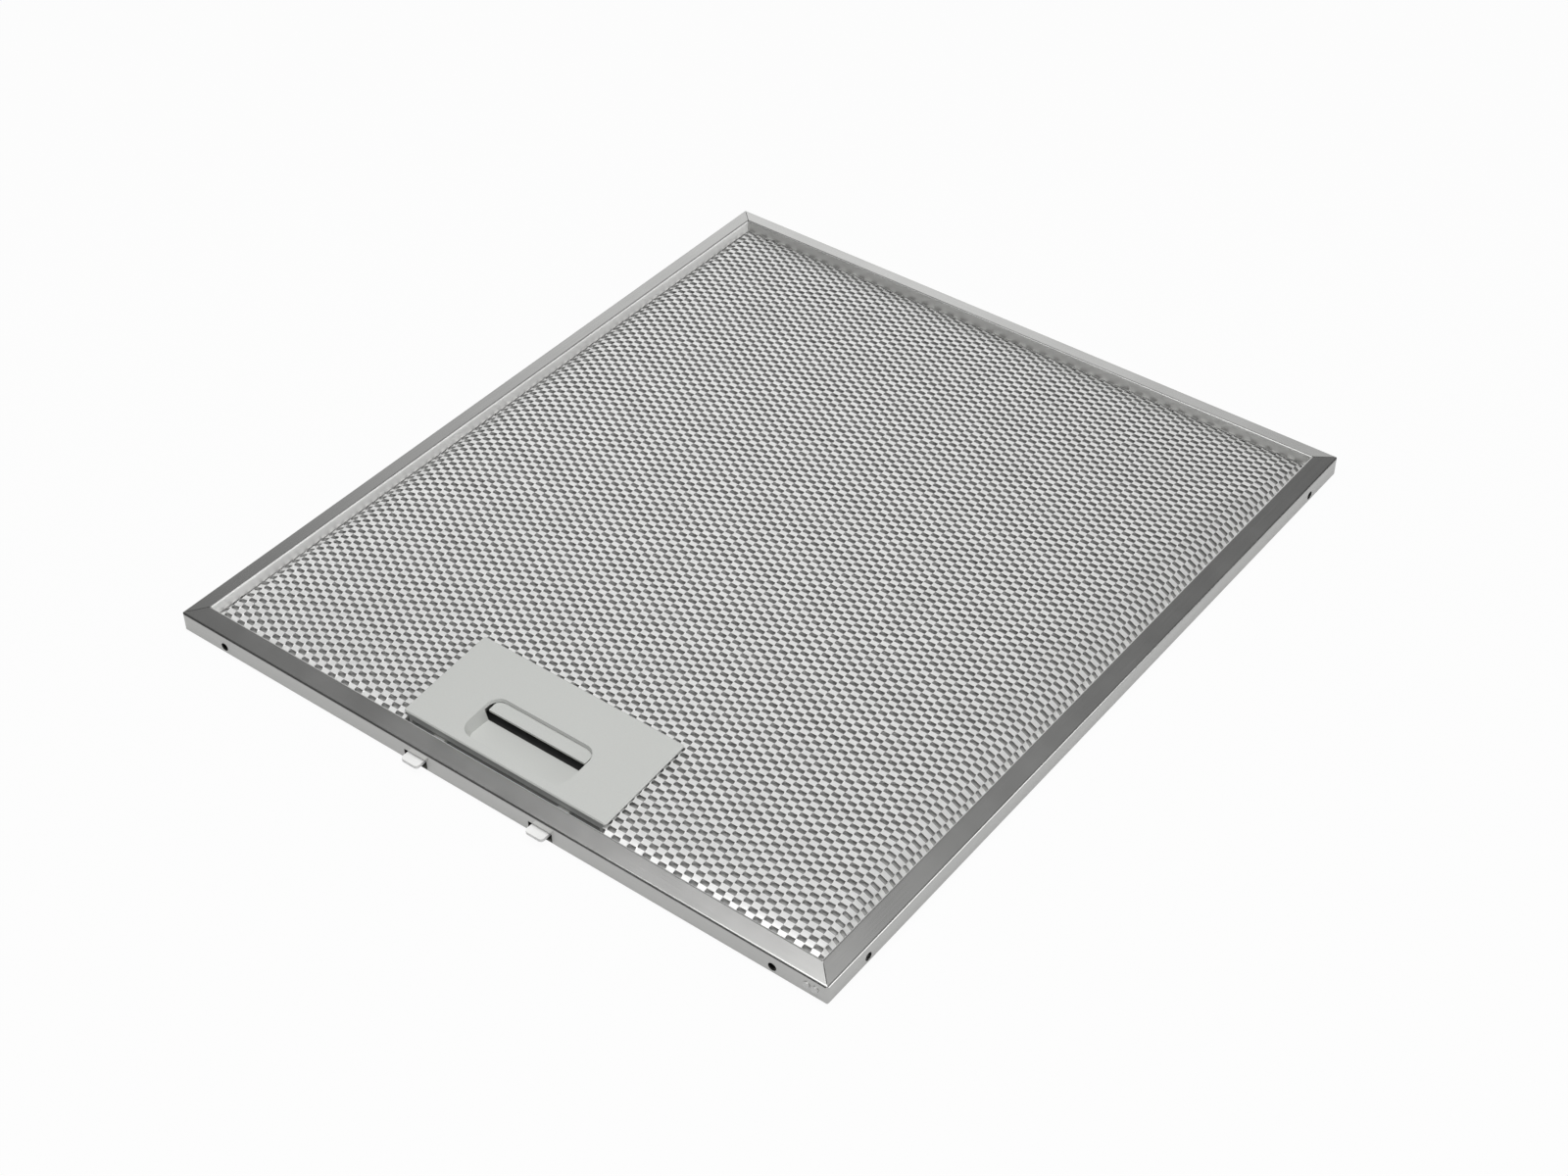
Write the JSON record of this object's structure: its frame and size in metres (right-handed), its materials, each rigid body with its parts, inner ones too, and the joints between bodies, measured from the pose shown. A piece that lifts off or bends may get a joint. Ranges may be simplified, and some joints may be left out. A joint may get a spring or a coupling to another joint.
{
  "type": "cooker hood grease filter",
  "caption": "Flat rectangular metal grease filter: channel frame around a crowned expanded-metal pack, with a recessed grey finger handle and a sprung slide latch.",
  "frame": {"origin": "middle of the frame's outer rectangle, on the plane that the filter lies on", "axes": "+Y from the latch edge to the rear edge, +Z out of the face with the handle, +X to the right seen from the latch edge"},
  "size_m": [0.2676, 0.3088, 0.012],
  "materials": {
    "frame_metal": "satin",
    "rivet_metal": "satin",
    "mesh_metal": "bright",
    "inner_mesh_metal": "satin",
    "handle_plastic": "matte",
    "tray_plastic": "matte",
    "latch_plastic": "matte",
    "spring_steel": "satin"
  },
  "bodies": {
    "filter": {"frame": "frame_metal", "corner_rivets": "rivet_metal", "front_mesh": "mesh_metal", "inner_mesh_1": "inner_mesh_metal", "inner_mesh_2": "inner_mesh_metal", "inner_mesh_3": "inner_mesh_metal", "inner_mesh_4": "inner_mesh_metal", "inner_mesh_5": "inner_mesh_metal", "rear_mesh": "mesh_metal", "handle_plate": "handle_plastic", "handle_tray": "tray_plastic", "latch_springs": "spring_steel"},
    "latch": {"latch_slider": "latch_plastic"}
  },
  "joints": [
    {"name": "latch_slide", "type": "slide", "parent": "filter", "child": "latch", "axis": [0, 1, 0], "range_m": [0, 0.004], "stiffness_N_per_m": 500, "springref_m": -0.004, "deforming": ["latch_springs"]}
  ]
}
